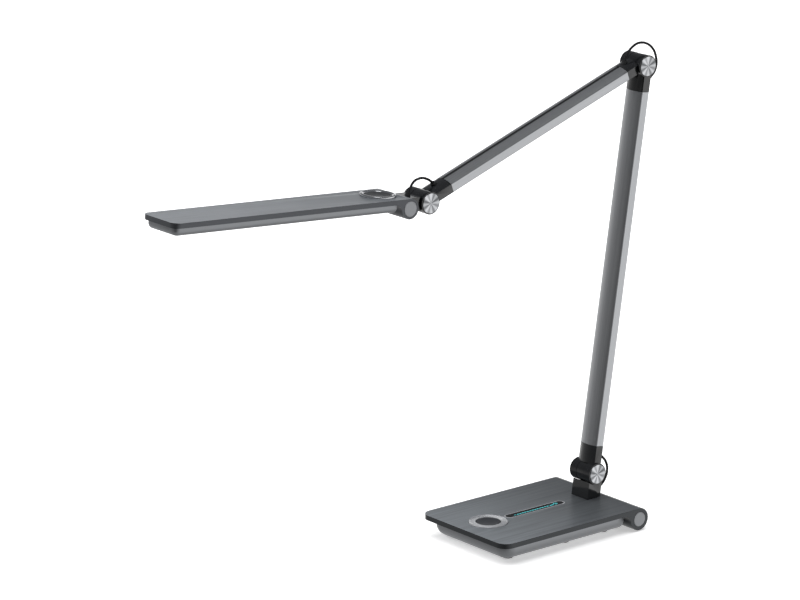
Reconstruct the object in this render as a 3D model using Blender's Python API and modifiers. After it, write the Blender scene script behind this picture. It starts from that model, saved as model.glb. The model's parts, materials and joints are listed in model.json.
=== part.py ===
"""Swing arm desk lamp: a weighted base, two hinged extruded arms and a flat light head.

Run with: blender --background --python part.py
All driving dimensions are in millimetres; meshes are made in metres, +Z up, front of the lamp towards -Y.
"""

from math import asin, atan2, cos, degrees, radians, sin, sqrt

import bmesh
import bpy
from mathutils import Matrix, Vector

MM = 0.001

# --- Base: a plate whose rear edge curls down into a tube, over a shallow weighted tray
PLATE_TOP = 24.4
BASE_WIDTH = 130.0
BASE_LENGTH = 180.0
BASE_THICKNESS = 5.2
BASE_TUBE_R = 11.6
BASE_BORE_R = 7.6
BASE_CORNER_R = 12.0
BASE_FILLET_R = 2.5
TRAY_INSET = 7.35
TRAY_BOTTOM = -22.2
TRAY_EDGE_R = 13.0
TRAY_WALL = 2.0
REAR_TUBE_Y = 235.92

# --- Head: the same plate and tube, smaller
HEAD_WIDTH = 52.0
HEAD_LENGTH = 279.5
HEAD_THICKNESS = 5.0
HEAD_TUBE_R = 10.1
HEAD_BORE_R = 7.7
HEAD_CORNER_R = 8.0
HEAD_FILLET_R = 2.2
HEAD_TRAY_INSET = 3.0
HEAD_TRAY_BOTTOM = -13.3
HEAD_TRAY_EDGE_R = 5.0
HEAD_TRAY_WALL = 1.6

# --- Arm extrusion: flat sides and two crowned faces, with a lead groove down one of them
ARM_WIDTH = 24.2
ARM_SIDE = 8.8
ARM_CROWN = 3.7
GROOVE_WIDTH = 3.8
GROOVE_DEPTH = 2.4
BORE_HALF_WIDTH = 9.5
BORE_HALF_DEPTH = 4.2

# --- Hinges: the fork's two ears hold a tongue between them on one axle
EAR_R = 11.1
EAR_OUTER = 14.9
SLOT_HALF = 5.2
SLOT_R = 11.5
TONGUE_R = 10.9
TONGUE_HALF = 4.9
SEAT_R = 11.8
AXLE_R = 3.0
AXLE_HOLE_R = 3.15
DISC_R = 10.1

# --- Where the three hinges lie, and how the pieces between them lean
LOWER_HINGE = (-12.8, 26.2)
LOWER_ARM_LEAN = 8.68
LOWER_ARM_PIVOTS = 419.4
LOWER_ARM_OFFSET_FOOT = 1.4
LOWER_ARM_OFFSET_TOP = 4.3
LOWER_ARM_METAL = (28.5, 392.5)
UPPER_ARM_DROP = 18.94
UPPER_ARM_PIVOTS = 296.6
UPPER_ARM_OFFSET_REAR = 1.1
UPPER_ARM_OFFSET_FRONT = -0.4
UPPER_ARM_METAL = (24.6, 265.4)
HEAD_TILT = 4.5
HEAD_TUBE_BEHIND_HINGE = 34.5
HEAD_TOP_ABOVE_HINGE = 9.55

# --- Controls
BASE_BUTTON_Y = -145.4
BASE_BEZEL_R = 19.6
BASE_BUTTON_R = 12.3
STRIP_CENTRE_Y = -83.9
STRIP_LENGTH = 75.6
STRIP_WIDTH = 9.4
HEAD_BUTTON_Y = -20.0
HEAD_BEZEL_R = 17.5
HEAD_BUTTON_R = 13.0

# --- Post between the base and the lower hinge
POST_HALF_WIDTH = 12.2
POST_FRONT = -23.6
POST_REAR = -6.4
POST_SHOULDER = 17.5
SWIVEL_Y = -16.0

LEAD_R = 1.2
CLEARANCE = 0.3

for old in list(bpy.data.objects):
    bpy.data.objects.remove(old, do_unlink=True)

lamp = bpy.data.collections.new("swing_arm_desk_lamp")
cutters = bpy.data.collections.new("cutters")
bpy.context.scene.collection.children.link(lamp)
bpy.context.scene.collection.children.link(cutters)


# ---------------------------------------------------------------- materials

def material(name, colour, roughness, metallic):
    """A Principled material of one colour."""
    made = bpy.data.materials.new(name)
    made.use_nodes = True
    shader = made.node_tree.nodes["Principled BSDF"]
    shader.inputs["Base Color"].default_value = (*colour, 1.0)
    shader.inputs["Roughness"].default_value = roughness
    shader.inputs["Metallic"].default_value = metallic
    return made


FINISHES = {
    "anodised_grey": ((0.13, 0.14, 0.15), 0.38, 0.9),
    "anodised_silver": ((0.42, 0.43, 0.46), 0.36, 0.95),
    "tray_grey": ((0.24, 0.25, 0.27), 0.45, 0.7),
    "cap_grey": ((0.27, 0.28, 0.30), 0.5, 0.6),
    "black_plastic": ((0.035, 0.037, 0.042), 0.42, 0.0),
    "gloss_black": ((0.012, 0.012, 0.013), 0.08, 0.0),
    "spun_steel": ((0.62, 0.63, 0.65), 0.25, 1.0),
    "rubber": ((0.03, 0.03, 0.03), 0.8, 0.0),
    "cast_iron": ((0.16, 0.16, 0.17), 0.6, 0.9),
    "circuit_board": ((0.03, 0.16, 0.07), 0.5, 0.0),
    "diffuser": ((0.86, 0.87, 0.86), 0.35, 0.0),
    "braid": ((0.012, 0.012, 0.014), 0.7, 0.0),
}


# ---------------------------------------------------------------- shape helpers

def frame_empty(name, parent, y, z, turn_x):
    """An empty whose X axis is a joint's axis, or whose origin a sub-assembly is measured from."""
    empty = bpy.data.objects.new(name, None)
    empty.empty_display_size = 0.02
    empty.parent = parent
    empty.location = (0.0, y * MM, z * MM)
    empty.rotation_euler = (radians(turn_x), 0.0, 0.0)
    lamp.objects.link(empty)
    return empty


def add_object(name, mesh, parent, turn_x=0.0, place=(0.0, 0.0, 0.0)):
    """Links a mesh as an object in its parent's frame."""
    made = bpy.data.objects.new(name, mesh)
    made.parent = parent
    made.location = [value * MM for value in place]
    made.rotation_euler = (radians(turn_x), 0.0, 0.0)
    lamp.objects.link(made)
    return made


def mesh_from(name, bm):
    """Turns a bmesh into a mesh with its faces pointing out."""
    bmesh.ops.recalc_face_normals(bm, faces=bm.faces[:])
    mesh = bpy.data.meshes.new(name)
    bm.to_mesh(mesh)
    bm.free()
    return mesh


def box(name, low, high, parent, **place):
    """A box between two opposite corners."""
    size = [(b - a) * MM for a, b in zip(low, high)]
    centre = [(b + a) * MM / 2 for a, b in zip(low, high)]
    bm = bmesh.new()
    bmesh.ops.create_cube(bm, size=1.0, matrix=Matrix.Translation(centre) @ Matrix.Diagonal((*size, 1.0)))
    return add_object(name, mesh_from(name, bm), parent, **place)


def rod(name, radius, start, end, parent, segments=48, **place):
    """A cylinder from one point to another."""
    first = Vector(start) * MM
    last = Vector(end) * MM
    along = last - first
    turn = along.to_track_quat("Z", "Y").to_matrix().to_4x4()
    bm = bmesh.new()
    bmesh.ops.create_cone(
        bm, cap_ends=True, segments=segments, radius1=radius * MM, radius2=radius * MM,
        depth=along.length, matrix=Matrix.Translation((first + last) / 2) @ turn)
    return add_object(name, mesh_from(name, bm), parent, **place)


PLANES = {
    "XY": Matrix(((1, 0, 0, 0), (0, 1, 0, 0), (0, 0, 1, 0), (0, 0, 0, 1))),
    "YZ": Matrix(((0, 0, 1, 0), (1, 0, 0, 0), (0, 1, 0, 0), (0, 0, 0, 1))),
}


def prism(name, outlines, low, high, parent, plane="XY", **place):
    """Flat outlines, the second one a hole, filled and extruded between two heights."""
    curve = bpy.data.curves.new(name, "CURVE")
    curve.dimensions = "2D"
    curve.fill_mode = "BOTH"
    curve.extrude = (high - low) * MM / 2
    for outline in outlines:
        spline = curve.splines.new("POLY")
        spline.points.add(len(outline) - 1)
        for point, (across, up) in zip(spline.points, outline):
            point.co = (across * MM, up * MM, 0.0, 1.0)
        spline.use_cyclic_u = True
    guide = bpy.data.objects.new(name + "_guide", curve)
    lamp.objects.link(guide)
    mesh = bpy.data.meshes.new_from_object(guide.evaluated_get(bpy.context.evaluated_depsgraph_get()))
    bpy.data.objects.remove(guide)
    bm = bmesh.new()
    bm.from_mesh(mesh)
    bmesh.ops.remove_doubles(bm, verts=bm.verts[:], dist=0.000001)
    bmesh.ops.translate(bm, verts=bm.verts[:], vec=(0.0, 0.0, (low + high) * MM / 2))
    bmesh.ops.transform(bm, matrix=PLANES[plane], verts=bm.verts[:])
    return add_object(name, mesh_from(name, bm), parent, **place)


def turned(name, profile, parent, segments=64, **place):
    """A turned shape about Z from (radius, height) pairs that run down its outer side."""
    bm = bmesh.new()
    ring = [bm.verts.new((radius * MM, 0.0, height * MM)) for radius, height in profile]
    for first, second in zip(ring, ring[1:] + ring[:1]):
        bm.edges.new((first, second))
    mesh = bpy.data.meshes.new(name)
    bm.to_mesh(mesh)
    bm.free()
    made = add_object(name, mesh, parent, **place)
    screw = made.modifiers.new("turn", "SCREW")
    screw.steps = segments
    screw.render_steps = segments
    screw.use_merge_vertices = True
    screw.merge_threshold = 0.000001
    return made


def boolean(target, operation, tool):
    """Cuts a target with a tool, or joins the tool to it; the tool is kept as a hidden guide."""
    tool.hide_render = True
    tool.display_type = "WIRE"
    lamp.objects.unlink(tool)
    cutters.objects.link(tool)
    step = target.modifiers.new(tool.name, "BOOLEAN")
    step.operation = operation
    step.object = tool
    step.solver = "EXACT"


def cut(target, *tools):
    for tool in tools:
        boolean(target, "DIFFERENCE", tool)


def join(target, *tools):
    for tool in tools:
        boolean(target, "UNION", tool)


def finish(made, finish_name):
    """Gives a piece its own material and smooth shading with sharp corners kept."""
    made.data.materials.append(material(made.name, *FINISHES[finish_name]))
    made.data.shade_smooth()
    made.data.set_sharp_from_angle(angle=radians(30))
    return made


def arc(centre, radius, start, end, steps):
    """Points along an arc, both ends included, angles in degrees."""
    angles = [radians(start + (end - start) * step / steps) for step in range(steps + 1)]
    return [(centre[0] + radius * cos(angle), centre[1] + radius * sin(angle)) for angle in angles]


def stadium(length, width, centre_y, steps=10):
    """A slot outline with round ends, long along Y."""
    radius = width / 2
    reach = length / 2 - radius
    return (arc((0.0, centre_y + reach), radius, 0, 180, steps)
            + arc((0.0, centre_y - reach), radius, 180, 360, steps))


# ---------------------------------------------------------------- plates with a rolled rear tube

def plate_profile(length, thickness, tube_r, fillet_r):
    """Side outline of a plate that rolls into a tube; the tube's axis is at y = 0, the top at z = 0."""
    rise = tube_r - thickness - fillet_r
    fillet_y = -sqrt((tube_r + fillet_r) ** 2 - rise ** 2)
    meet = degrees(atan2(rise, fillet_y))
    tube = arc((0.0, -tube_r), tube_r, 90, meet - 360, 32)
    fillet = arc((fillet_y, -thickness - fillet_r), fillet_r, meet - 180, 90, 5)
    front = -length - 5.0
    return tube + fillet + [(front, -thickness), (front, 0.0)]


def rolled_plate(name, width, length, thickness, tube_r, bore_r, corner_r, fillet_r, parent):
    """The rolled plate, trimmed to its plan outline with round front corners."""
    profile = plate_profile(length, thickness, tube_r, fillet_r)
    bore = arc((0.0, -tube_r), bore_r, 360, 10, 35)
    half = width / 2
    plate = prism(name, [profile, bore], -half - 3, half + 3, parent, plane="YZ")
    plan = (arc((half - corner_r, corner_r - length), corner_r, -90, 0, 8)
            + [(half, tube_r + 5), (-half, tube_r + 5)]
            + arc((corner_r - half, corner_r - length), corner_r, 180, 270, 8))
    boolean(plate, "INTERSECT", prism(name + "_plan", [plan], -60, 30, parent))
    return plate


def tub(name, half_width, front, rear, top, bottom, corner_r, edge_r, parent):
    """A block with round front corners and a rounded lower edge on its front and sides."""
    bm = bmesh.new()
    size = (2 * half_width * MM, (rear - front) * MM, (top - bottom) * MM)
    centre = (0.0, (front + rear) * MM / 2, (top + bottom) * MM / 2)
    bmesh.ops.create_cube(bm, size=1.0, matrix=Matrix.Translation(centre) @ Matrix.Diagonal((*size, 1.0)))
    near = 0.00001
    upright = [edge for edge in bm.edges
               if all(abs(vert.co.y - front * MM) < near for vert in edge.verts)
               and abs(edge.verts[0].co.x - edge.verts[1].co.x) < near]
    bmesh.ops.bevel(bm, geom=upright, offset=corner_r * MM, segments=6, profile=0.5, affect="EDGES")
    lower = [edge for edge in bm.edges
             if all(abs(vert.co.z - bottom * MM) < near for vert in edge.verts)
             and not all(abs(vert.co.y - rear * MM) < near for vert in edge.verts)]
    bmesh.ops.bevel(bm, geom=lower, offset=edge_r * MM, segments=6, profile=0.5, affect="EDGES")
    return add_object(name, mesh_from(name, bm), parent)


def tray(name, half_width, front, rear, top, bottom, corner_r, edge_r, wall, parent):
    """An open-topped tray: a tub with a smaller tub taken out of it."""
    shell = tub(name, half_width, front, rear, top, bottom, corner_r, edge_r, parent)
    cut(shell, tub(name + "_inside", half_width - wall, front + wall, rear - wall, top + 3,
                   bottom + wall, corner_r - wall, edge_r - wall, parent))
    return shell


# ---------------------------------------------------------------- arms and hinges

def arm_section(offset, groove=0):
    """Arm outline in X and Y, centred at y = offset; groove is +1 or -1 for the side that has one."""
    half = ARM_WIDTH / 2
    side = ARM_SIDE / 2
    crown_r = half ** 2 / (2 * ARM_CROWN) + ARM_CROWN / 2
    spread = degrees(asin(half / crown_r))
    centre = side + ARM_CROWN - crown_r
    upper = arc((0.0, centre), crown_r, 90 - spread, 90 + spread, 12)
    lower = [(-x, -y) for x, y in upper]
    floor = side + ARM_CROWN - GROOVE_DEPTH
    lip = GROOVE_WIDTH / 2
    edge = centre + sqrt(crown_r ** 2 - lip ** 2)
    slot = [(lip, edge), (lip, floor), (-lip, floor), (-lip, edge)]
    if groove:
        upper = [p for p in upper if p[0] > lip] + slot + [p for p in upper if p[0] < -lip]
    outline = [(x, y * (groove or 1) + offset) for x, y in upper + lower]
    return outline


def arm_metal(name, start, end, offset, groove, parent, turn_x):
    """A hollow length of the arm extrusion along Z."""
    bore = [(BORE_HALF_WIDTH, BORE_HALF_DEPTH), (-BORE_HALF_WIDTH, BORE_HALF_DEPTH),
            (-BORE_HALF_WIDTH, -BORE_HALF_DEPTH), (BORE_HALF_WIDTH, -BORE_HALF_DEPTH)]
    hollow = [(x, y + offset) for x, y in bore]
    made = prism(name, [arm_section(offset, groove), hollow], start, end, parent, turn_x=turn_x)
    return finish(made, "anodised_silver")


def channel_strip(name, start, end, offset, groove, parent, turn_x):
    """The strip that closes the lead groove along one arm."""
    floor = ARM_SIDE / 2 + ARM_CROWN - GROOVE_DEPTH + CLEARANCE
    faces = sorted(offset + groove * height for height in (floor, floor + 1.4))
    half = GROOVE_WIDTH / 2 - CLEARANCE
    made = box(name, (-half, faces[0], start + 1), (half, faces[1], end - 1), parent, turn_x=turn_x)
    return finish(made, "black_plastic")


def spigot(name, offset, length, parent, place):
    """The plug of an end fitting that fills the arm's bore."""
    wide = BORE_HALF_WIDTH - CLEARANCE
    deep = BORE_HALF_DEPTH - CLEARANCE
    return box(name, (-wide, offset - deep, length - 2), (wide, offset + deep, length + 12), parent, **place)


def fork_fitting(name, length, offset, parent, **place):
    """End fitting with two round ears on the hinge at its origin; its body runs along +Z."""
    fork = prism(name, [arm_section(offset)], 3, length - CLEARANCE, parent, **place)
    join(fork,
         rod(name + "_ears", EAR_R, (-EAR_OUTER, 0, 0), (EAR_OUTER, 0, 0), parent, **place),
         spigot(name + "_spigot", offset, length, parent, place))
    cut(fork,
        rod(name + "_slot", SLOT_R, (-SLOT_HALF, 0, 0), (SLOT_HALF, 0, 0), parent, **place),
        rod(name + "_axle_hole", AXLE_HOLE_R, (-20, 0, 0), (20, 0, 0), parent, segments=24, **place))
    for side in (-1, 1):
        cut(fork, rod(f"{name}_pocket_{side}", DISC_R + CLEARANCE,
                      (side * (EAR_OUTER - 1), 0, 0), (side * (EAR_OUTER + 3), 0, 0), parent, **place))
    return finish(fork, "black_plastic")


def tongue(target, neck_low, neck_high, parent, **place):
    """Joins a round tongue on a short neck to a body, around the hinge at the origin, and bores it."""
    name = target.name
    join(target,
         rod(name + "_tongue", TONGUE_R, (-TONGUE_HALF, 0, 0), (TONGUE_HALF, 0, 0), parent, **place),
         box(name + "_neck", (-TONGUE_HALF, *neck_low), (TONGUE_HALF, *neck_high), parent, **place))
    cut(target, rod(name + "_axle_hole", AXLE_HOLE_R, (-20, 0, 0), (20, 0, 0), parent, segments=24, **place))


def seat(target, parent, **place):
    """Hollows a body's shoulders around the ears of the neighbouring fork."""
    cut(target, rod(target.name + "_seat", SEAT_R, (-25, 0, 0), (25, 0, 0), parent, **place))


def hinge_hardware(name, parent, place):
    """One axle and the two spun discs that cover its ends."""
    finish(rod(name + "_axle", AXLE_R, (-13.4, 0, 0), (13.4, 0, 0), parent, segments=24, place=place),
           "spun_steel")
    for label, side in (("left", -1), ("right", 1)):
        inner = side * (EAR_OUTER - 1 + CLEARANCE)
        disc = rod(f"{name}_disc_{label}", DISC_R, (inner, 0, 0), (side * 15.6, 0, 0), parent, place=place)
        bevel = disc.modifiers.new("rim", "BEVEL")
        bevel.width = 0.3 * MM
        bevel.segments = 1
        finish(disc, "spun_steel")


# ---------------------------------------------------------------- lead glands and leads

def gland(name, fitting, surface, outward, parent, **place):
    """A small boot set into a fitting at a surface point (y, z), pointing outward, with a blind lead hole."""
    point = Vector((0.0, *surface))
    out = Vector((0.0, *outward)).normalized()
    inner = point - out * 4.0
    outer = point + out * 2.4
    cut(fitting, rod(name + "_socket", 2.9, inner - out * CLEARANCE, point + out * 8, parent, segments=20, **place))
    boot = rod(name, 2.6, inner, outer, parent, segments=20, **place)
    cut(boot, rod(name + "_hole", LEAD_R + CLEARANCE, point - out * 2.0, outer + out, parent, segments=12, **place))
    return finish(boot, "black_plastic")


def smooth_route(points, gap):
    """Points about one gap apart on a Catmull-Rom curve through the given ones."""
    route = [Vector((0.0, y, z)) for y, z in points]
    padded = [route[0] * 2 - route[1]] + route + [route[-1] * 2 - route[-2]]
    found = []
    for index in range(1, len(padded) - 2):
        before, start, end, after = padded[index - 1:index + 3]
        steps = max(1, round((end - start).length / gap))
        for step in range(steps):
            t = step / steps
            found.append(0.5 * (2 * start + (end - before) * t
                                + (2 * before - 5 * start + 4 * end - after) * t ** 2
                                + (3 * start - before - 3 * end + after) * t ** 3))
    return found + [route[-1]]


def lead(name, points, parent):
    """A short braided lead: a bevelled curve through its route."""
    route = smooth_route(points, 2.5)
    curve = bpy.data.curves.new(name, "CURVE")
    curve.dimensions = "3D"
    curve.bevel_depth = LEAD_R * MM
    curve.bevel_resolution = 2
    curve.use_fill_caps = True
    spline = curve.splines.new("POLY")
    spline.points.add(len(route) - 1)
    for control, point in zip(spline.points, route):
        control.co = (*(point * MM), 1.0)
    guide = bpy.data.objects.new(name + "_guide", curve)
    lamp.objects.link(guide)
    mesh = bpy.data.meshes.new_from_object(guide.evaluated_get(bpy.context.evaluated_depsgraph_get()))
    bpy.data.objects.remove(guide)
    bm = bmesh.new()
    bm.from_mesh(mesh)
    bmesh.ops.remove_doubles(bm, verts=bm.verts[:], dist=0.000001)
    return finish(add_object(name, mesh_from(name, bm), parent), "braid")


# ---------------------------------------------------------------- base

base = frame_empty("base_frame", None, REAR_TUBE_Y, PLATE_TOP, 0.0)
FEET = [(x, y) for y in (-154.0, -80.0, -28.0) for x in (-40.0, 40.0)]
SCREWS = [(x, y) for y in (-132.0, -54.0) for x in (-36.0, 36.0)]


def make_base_plate():
    plate = rolled_plate("base_plate", BASE_WIDTH, BASE_LENGTH, BASE_THICKNESS, BASE_TUBE_R, BASE_BORE_R,
                         BASE_CORNER_R, BASE_FILLET_R, base)
    for number, (x, y) in enumerate(SCREWS, 1):
        join(plate, rod(f"plate_boss_{number}", 3.4, (x, y, -19.9), (x, y, -4.0), base, segments=24))
        cut(plate, rod(f"plate_boss_bore_{number}", 1.7, (x, y, -21), (x, y, -8), base, segments=12))
    button = (0.0, BASE_BUTTON_Y)
    cut(plate,
        rod("bezel_recess", BASE_BEZEL_R + CLEARANCE, (*button, -1.2), (*button, 3), base, segments=64),
        rod("button_hole", BASE_BUTTON_R + 0.7, (*button, -9), (*button, 3), base),
        prism("strip_pocket", [stadium(STRIP_LENGTH + 0.6, STRIP_WIDTH + 0.6, STRIP_CENTRE_Y)], -1.8, 3, base),
        rod("swivel_hole", 3.3, (0, SWIVEL_Y, -9), (0, SWIVEL_Y, 3), base, segments=24),
        rod("inlet_hole", 4.9, (0, 3, -BASE_TUBE_R), (0, 15, -BASE_TUBE_R), base, segments=32))
    finish(plate, "anodised_grey")


def make_tube_caps(prefix, half_width, radius, tube_r, parent):
    """The two round caps that close a tube's ends, standing 0.4 mm proud."""
    for label, side in (("left", -1), ("right", 1)):
        cap = rod(f"{prefix}_tube_cap_{label}", radius, (side * (half_width - 6), 0, -tube_r),
                  (side * (half_width + 0.4), 0, -tube_r), parent)
        bevel = cap.modifiers.new("rim", "BEVEL")
        bevel.width = 0.3 * MM
        bevel.segments = 1
        finish(cap, "cap_grey")


def make_undertray():
    half = BASE_WIDTH / 2 - TRAY_INSET
    under = tray("base_undertray", half, TRAY_INSET - BASE_LENGTH, -14.4, -BASE_THICKNESS - CLEARANCE,
                 TRAY_BOTTOM, TRAY_EDGE_R + 1, TRAY_EDGE_R, TRAY_WALL, base)
    for number, (x, y) in enumerate(SCREWS, 1):
        cut(under, rod(f"tray_hole_{number}", 1.8, (x, y, -26), (x, y, -17), base, segments=16))
    finish(under, "tray_grey")


def make_feet_and_screws():
    for number, (x, y) in enumerate(FEET, 1):
        foot = rod(f"foot_{number}", 5.5, (x, y, -PLATE_TOP), (x, y, TRAY_BOTTOM - CLEARANCE), base, segments=24)
        bevel = foot.modifiers.new("edge", "BEVEL")
        bevel.width = 0.5 * MM
        bevel.segments = 1
        finish(foot, "rubber")
    for number, (x, y) in enumerate(SCREWS, 1):
        head = TRAY_BOTTOM - CLEARANCE
        screw = rod(f"undertray_screw_{number}", 2.7, (x, y, head - 1.1), (x, y, head), base, segments=20)
        join(screw, rod(f"screw_shank_{number}", 1.4, (x, y, head - 0.5), (x, y, -9), base, segments=12))
        cut(screw, box(f"screw_slot_{number}", (x - 3, y - 0.35, head - 2), (x + 3, y + 0.35, head - 0.7), base))
        finish(screw, "spun_steel")


def make_base_inside():
    slab = box("ballast_slab", (-44, -158, -19.9), (44, -18, -8.4), base)
    for number, (x, y) in enumerate(SCREWS, 1):
        cut(slab, rod(f"slab_hole_{number}", 3.8, (x, y, -21), (x, y, -7), base, segments=24))
    finish(slab, "cast_iron")
    finish(box("control_board", (-20, -165, -7.6), (20, -50, -6), base), "circuit_board")


def make_power_inlet():
    """A barrel socket through the rear of the tube, with its centre pin."""
    level = -BASE_TUBE_R
    inlet = rod("power_inlet", 4.6, (0, -6, level), (0, 11.4, level), base, segments=32)
    cut(inlet, rod("inlet_socket", 3.0, (0, 1, level), (0, 13, level), base, segments=24))
    join(inlet, rod("inlet_pin", 0.9, (0, 0, level), (0, 9.5, level), base, segments=12))
    finish(inlet, "black_plastic")


def make_base_controls():
    recess = -1.2 + CLEARANCE
    bezel = turned("base_button_bezel", [
        (BASE_BEZEL_R, 0.3), (BASE_BEZEL_R, recess), (BASE_BUTTON_R + 0.4, recess),
        (BASE_BUTTON_R + 0.4, 0.7), (BASE_BUTTON_R + 0.9, 0.9), (BASE_BEZEL_R - 1.6, 0.9),
        (BASE_BEZEL_R - 0.8, 1.3)], base, place=(0, BASE_BUTTON_Y, 0))
    finish(bezel, "spun_steel")
    button = rod("base_button", BASE_BUTTON_R, (0, 0, -3.4), (0, 0, 0.6), base, place=(0, BASE_BUTTON_Y, 0))
    bevel = button.modifiers.new("edge", "BEVEL")
    bevel.width = 0.4 * MM
    bevel.segments = 2
    finish(button, "black_plastic")
    rim = prism("touch_strip_rim", [stadium(STRIP_LENGTH, STRIP_WIDTH, STRIP_CENTRE_Y),
                                    stadium(STRIP_LENGTH - 2.2, STRIP_WIDTH - 2.2, STRIP_CENTRE_Y)],
                -1.5, 0.4, base)
    finish(rim, "spun_steel")
    strip = prism("touch_strip", [stadium(STRIP_LENGTH - 2.8, STRIP_WIDTH - 2.8, STRIP_CENTRE_Y)],
                  -1.5, 0.2, base)
    finish(strip, "gloss_black")


make_base_plate()
make_tube_caps("base", BASE_WIDTH / 2, BASE_BORE_R - 0.2, BASE_TUBE_R, base)
make_undertray()
make_feet_and_screws()
make_base_inside()
make_power_inlet()
make_base_controls()

# ---------------------------------------------------------------- post, turning on the base about Z

swivel = frame_empty("base_swivel_axis", base, SWIVEL_Y, 0.0, 0.0)
lower_hinge = frame_empty("lower_hinge_axis", swivel, LOWER_HINGE[0] - SWIVEL_Y, LOWER_HINGE[1], 0.0)


def make_post():
    """The block that carries the lower hinge; its outline is in the hinge's frame."""
    lean = sin(radians(LOWER_ARM_LEAN)) * POST_SHOULDER
    front = POST_FRONT - LOWER_HINGE[0]
    rear = POST_REAR - LOWER_HINGE[0]
    foot = CLEARANCE - LOWER_HINGE[1]
    shoulder = POST_SHOULDER - LOWER_HINGE[1]
    outline = [(front, foot), (rear, foot), (rear + lean, shoulder), (front + lean, shoulder)]
    post = prism("post_block", [outline], -POST_HALF_WIDTH, POST_HALF_WIDTH, lower_hinge, plane="YZ")
    seat(post, lower_hinge)
    tongue(post, (-5.5, -16), (5.5, 0), lower_hinge)
    across = SWIVEL_Y - LOWER_HINGE[0]
    cut(post, rod("post_swivel_bore", 5.1, (0, across, foot - 2), (0, across, 9.9 - LOWER_HINGE[1]), lower_hinge,
                  segments=32))
    gland("lower_lead_post_gland", post, (rear + lean * 0.33, -20.5), (1.0, 0.0), lower_hinge)
    finish(post, "black_plastic")


def make_swivel_spigot():
    """A hollow stud in the plate that the post turns on."""
    stud = turned("swivel_spigot", [(4.8, 9.5), (4.8, CLEARANCE), (3.0, CLEARANCE), (3.0, -5.0),
                                    (1.8, -5.0), (1.8, 9.5)], swivel, segments=32)
    finish(stud, "spun_steel")


make_post()
make_swivel_spigot()
hinge_hardware("lower_hinge", lower_hinge, (0, 0, 0))

# ---------------------------------------------------------------- lower arm

lower_arm = frame_empty("lower_arm_frame", lower_hinge, 0.0, 0.0, -LOWER_ARM_LEAN)
top_y = LOWER_ARM_OFFSET_FOOT - LOWER_ARM_OFFSET_TOP
elbow = frame_empty("elbow_axis", lower_arm, top_y, LOWER_ARM_PIVOTS, LOWER_ARM_LEAN)


def make_lower_arm():
    foot = fork_fitting("lower_arm_foot_fitting", LOWER_ARM_METAL[0], LOWER_ARM_OFFSET_FOOT, lower_arm)
    gland("lower_lead_arm_gland", foot, (9.5, 19.0), (0.80, -0.60), lower_arm)
    arm_metal("lower_arm_tube", *LOWER_ARM_METAL, LOWER_ARM_OFFSET_FOOT, 1, lower_arm, 0.0)
    channel_strip("lower_channel_strip", *LOWER_ARM_METAL, LOWER_ARM_OFFSET_FOOT, 1, lower_arm, 0.0)
    reach = LOWER_ARM_PIVOTS - LOWER_ARM_METAL[1]
    top = fork_fitting("lower_arm_top_fitting", reach, -LOWER_ARM_OFFSET_TOP, lower_arm,
                       turn_x=180.0, place=(0, top_y, LOWER_ARM_PIVOTS))
    gland("elbow_lead_lower_gland", top, (-12.4, 19.5), (-0.76, -0.65), lower_arm,
          turn_x=180.0, place=(0, top_y, LOWER_ARM_PIVOTS))


make_lower_arm()
hinge_hardware("elbow", lower_arm, (0, top_y, LOWER_ARM_PIVOTS))

# ---------------------------------------------------------------- upper arm, drooping towards the front

upper_arm = frame_empty("upper_arm_frame", elbow, 0.0, 0.0, UPPER_ARM_DROP)
front_z = UPPER_ARM_OFFSET_REAR - UPPER_ARM_OFFSET_FRONT
head_hinge = frame_empty("head_hinge_axis", upper_arm, -UPPER_ARM_PIVOTS, front_z, -UPPER_ARM_DROP)


def make_upper_arm():
    offset = UPPER_ARM_OFFSET_REAR
    rear = prism("upper_arm_rear_fitting", [arm_section(offset)], 4, UPPER_ARM_METAL[0] - CLEARANCE, upper_arm,
                 turn_x=90.0)
    seat(rear, upper_arm, turn_x=90.0)
    join(rear, spigot("rear_spigot", offset, UPPER_ARM_METAL[0], upper_arm, {"turn_x": 90.0}))
    tongue(rear, (-6, 0), (6, 14), upper_arm, turn_x=90.0)
    relief = [(-1.2, 8.3), (-7.5, 17.3), (-20, 17.3), (-20, 0), (-1.2, 0)]
    cut(rear, prism("rear_relief", [relief], -30, 30, upper_arm, plane="YZ", turn_x=90.0))
    gland("elbow_lead_upper_gland", rear, (9.2, 16.8), (0.70, -0.71), upper_arm, turn_x=90.0)
    finish(rear, "black_plastic")
    arm_metal("upper_arm_tube", *UPPER_ARM_METAL, offset, 1, upper_arm, 90.0)
    channel_strip("upper_channel_strip", *UPPER_ARM_METAL, offset, 1, upper_arm, 90.0)
    reach = UPPER_ARM_PIVOTS - UPPER_ARM_METAL[1]
    at_front = {"turn_x": -90.0, "place": (0, -UPPER_ARM_PIVOTS, front_z)}
    front = fork_fitting("upper_arm_front_fitting", reach, -UPPER_ARM_OFFSET_FRONT, upper_arm, **at_front)
    gland("head_lead_arm_gland", front, (-7.7, 19.5), (-0.89, -0.46), upper_arm, **at_front)


make_upper_arm()
hinge_hardware("head_hinge", upper_arm, (0, -UPPER_ARM_PIVOTS, front_z))

# ---------------------------------------------------------------- head

head_frame = frame_empty("head_frame", head_hinge, 0.0, 0.0, -HEAD_TILT)
head = frame_empty("head_plate_frame", head_frame, -HEAD_TUBE_BEHIND_HINGE, HEAD_TOP_ABOVE_HINGE, 0.0)


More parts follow.
